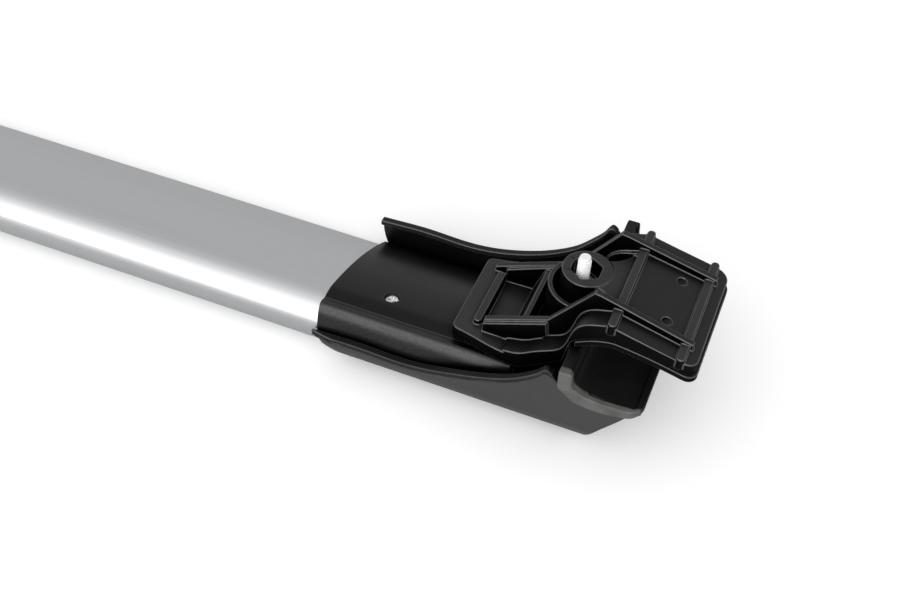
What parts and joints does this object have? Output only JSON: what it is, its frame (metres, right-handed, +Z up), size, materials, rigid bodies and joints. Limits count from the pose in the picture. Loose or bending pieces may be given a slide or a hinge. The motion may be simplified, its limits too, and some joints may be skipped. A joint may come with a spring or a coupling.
{
  "type": "roof rack crossbar",
  "caption": "Aerofoil aluminium crossbar with a black plastic rail clamp foot at each end, lying with its underside up",
  "frame": {"origin": "middle of the footprint on the table, under the middle of the bar", "axes": "+X along the bar to the right foot, +Y from the thick leading edge to the thin trailing edge, +Z up from the table (towards the underside of the rack)"},
  "size_m": [1.0818, 0.1052, 0.0838],
  "materials": {
    "aluminium": "satin anodised, fine lengthwise extrusion lines",
    "shell_plastic": "fine-grained moulded black plastic",
    "liner_plastic": "smooth satin black plastic",
    "jaw_plastic": "glass-filled black nylon, slightly uneven",
    "rubber": "matt black rubber",
    "zinc_steel": "bright zinc plated",
    "lock_metal": "plated, lightly brushed"
  },
  "bodies": {
    "bar_and_feet": {"crossbar": "aluminium", "foot_shell_right": "shell_plastic", "foot_shell_left": "shell_plastic", "bar_liner_right": "liner_plastic", "bar_liner_left": "liner_plastic", "liner_screw_right": "zinc_steel", "liner_screw_left": "zinc_steel", "bar_screws_right": "zinc_steel", "bar_screws_left": "zinc_steel", "near_edge_seal_right": "rubber", "near_edge_seal_left": "rubber", "far_edge_seal_right": "rubber", "far_edge_seal_left": "rubber", "rail_saddle_right": "rubber", "rail_saddle_left": "rubber", "bolt_washer_right": "zinc_steel", "bolt_washer_left": "zinc_steel", "lid_pin_right": "zinc_steel", "lid_pin_left": "zinc_steel", "bar_end_plug_right": "shell_plastic", "bar_end_plug_left": "shell_plastic"},
    "bolt_right": {"clamp_bolt_right": "zinc_steel"},
    "jaw_right": {"clamp_jaw_right": "jaw_plastic", "jaw_pad_right": "rubber", "jaw_nut_right": "zinc_steel"},
    "lid_right": {"access_lid_right": "shell_plastic"},
    "lock_right": {"lock_barrel_right": "lock_metal"},
    "bolt_left": {"clamp_bolt_left": "zinc_steel"},
    "jaw_left": {"clamp_jaw_left": "jaw_plastic", "jaw_pad_left": "rubber", "jaw_nut_left": "zinc_steel"},
    "lid_left": {"access_lid_left": "shell_plastic"},
    "lock_left": {"lock_barrel_left": "lock_metal"}
  },
  "joints": [
    {"name": "bolt_right_turn", "type": "hinge", "parent": "bar_and_feet", "child": "bolt_right", "pos_m": [0.4803, -0.0063, 0.05], "axis": [0, 0, -1], "range_deg": [0, 4321]},
    {"name": "jaw_right_slide", "type": "slide", "parent": "bar_and_feet", "child": "jaw_right", "axis": [0, 0, 1], "range_m": [0, 0.012]},
    {"name": "lid_right_hinge", "type": "hinge", "parent": "bar_and_feet", "child": "lid_right", "pos_m": [0.4669, -0.006, 0.0023], "axis": [0, 1, 0], "range_deg": [0, 100]},
    {"name": "lock_right_turn", "type": "hinge", "parent": "lid_right", "child": "lock_right", "pos_m": [0.4841, -0.0063, 0.003], "axis": [0, 0, 1], "range_deg": [0, 90]},
    {"name": "bolt_left_turn", "type": "hinge", "parent": "bar_and_feet", "child": "bolt_left", "pos_m": [-0.4803, -0.0063, 0.05], "axis": [0, 0, -1], "range_deg": [0, 4321]},
    {"name": "jaw_left_slide", "type": "slide", "parent": "bar_and_feet", "child": "jaw_left", "axis": [0, 0, 1], "range_m": [0, 0.012]},
    {"name": "lid_left_hinge", "type": "hinge", "parent": "bar_and_feet", "child": "lid_left", "pos_m": [-0.4669, -0.006, 0.0023], "axis": [0, -1, 0], "range_deg": [0, 100]},
    {"name": "lock_left_turn", "type": "hinge", "parent": "lid_left", "child": "lock_left", "pos_m": [-0.4841, -0.0063, 0.003], "axis": [0, 0, 1], "range_deg": [0, 90]}
  ],
  "couplings": [
    {"joint": "bolt_right_turn", "follows": "jaw_right_slide", "rad_per_m": 6283.2},
    {"joint": "bolt_left_turn", "follows": "jaw_left_slide", "rad_per_m": 6283.2}
  ]
}
